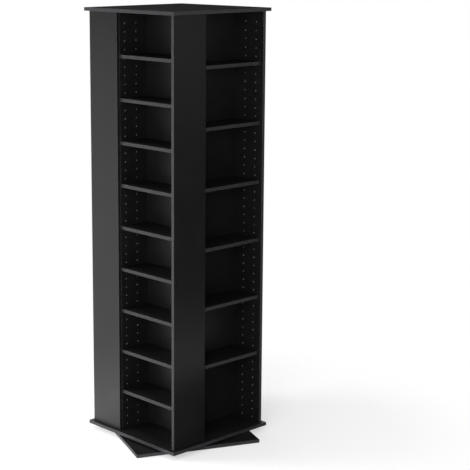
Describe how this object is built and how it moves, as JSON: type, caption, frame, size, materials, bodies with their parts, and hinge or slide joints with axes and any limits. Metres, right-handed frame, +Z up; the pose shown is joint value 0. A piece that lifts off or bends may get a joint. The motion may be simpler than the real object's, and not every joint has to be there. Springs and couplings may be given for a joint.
{
  "type": "rotating media tower",
  "caption": "Tall square four-sided disc storage tower in black laminate: a pinwheel of panels and shelves between two overhanging square panels, spinning on a flat square base.",
  "frame": {"origin": "on the floor, at the middle of the base panel's underside, on the spin axis", "axes": "+Z up along the spin axis; the tower's four sides face -X, -Y, +X and +Y, with the nine-shelf side facing -X and a six-shelf side facing -Y; the base panel is turned 23.3 degrees about Z from the tower at rest"},
  "size_m": [0.6452, 0.6452, 1.6401],
  "materials": {
    "black_laminate": "satin black laminate with a faint grain, on particle board",
    "zinc_plate": "bright zinc plated pressed steel",
    "cage_plastic": "natural nylon with steel balls",
    "screw_steel": "zinc plated steel"
  },
  "bodies": {
    "base": {"base_panel": "black_laminate", "swivel_lower_plate": "zinc_plate", "swivel_lower_screw_1": "screw_steel", "swivel_lower_screw_2": "screw_steel", "swivel_lower_screw_3": "screw_steel", "swivel_lower_screw_4": "screw_steel"},
    "ball_cage": {"swivel_ball_cage": "cage_plastic"},
    "tower": {"swivel_upper_plate": "zinc_plate", "swivel_upper_screw_1": "screw_steel", "swivel_upper_screw_2": "screw_steel", "swivel_upper_screw_3": "screw_steel", "swivel_upper_screw_4": "screw_steel", "bottom_panel": "black_laminate", "top_panel": "black_laminate", "side_panel_a": "black_laminate", "inner_wall_a": "black_laminate", "shelf_a1": "black_laminate", "shelf_a2": "black_laminate", "shelf_a3": "black_laminate", "shelf_a4": "black_laminate", "shelf_a5": "black_laminate", "shelf_a6": "black_laminate", "shelf_a7": "black_laminate", "shelf_a8": "black_laminate", "shelf_a9": "black_laminate", "side_panel_screw_a": "screw_steel", "inner_wall_screw_a": "screw_steel", "side_panel_b": "black_laminate", "inner_wall_b": "black_laminate", "shelf_b1": "black_laminate", "shelf_b2": "black_laminate", "shelf_b3": "black_laminate", "shelf_b4": "black_laminate", "shelf_b5": "black_laminate", "shelf_b6": "black_laminate", "side_panel_screw_b": "screw_steel", "inner_wall_screw_b": "screw_steel", "side_panel_c": "black_laminate", "inner_wall_c": "black_laminate", "shelf_c1": "black_laminate", "shelf_c2": "black_laminate", "shelf_c3": "black_laminate", "shelf_c4": "black_laminate", "shelf_c5": "black_laminate", "shelf_c6": "black_laminate", "side_panel_screw_c": "screw_steel", "inner_wall_screw_c": "screw_steel", "side_panel_d": "black_laminate", "inner_wall_d": "black_laminate", "shelf_d1": "black_laminate", "shelf_d2": "black_laminate", "shelf_d3": "black_laminate", "shelf_d4": "black_laminate", "shelf_d5": "black_laminate", "shelf_d6": "black_laminate", "side_panel_screw_d": "screw_steel", "inner_wall_screw_d": "screw_steel"}
  },
  "joints": [
    {"name": "tower_spin", "type": "hinge", "parent": "base", "child": "tower", "pos_m": [0, 0, 0.0207], "axis": [0, 0, 1], "continuous": true},
    {"name": "ball_cage_spin", "type": "hinge", "parent": "base", "child": "ball_cage", "pos_m": [0, 0, 0.0167], "axis": [0, 0, 1], "continuous": true}
  ],
  "couplings": [
    {"joint": "ball_cage_spin", "follows": "tower_spin", "ratio": 0.5}
  ]
}
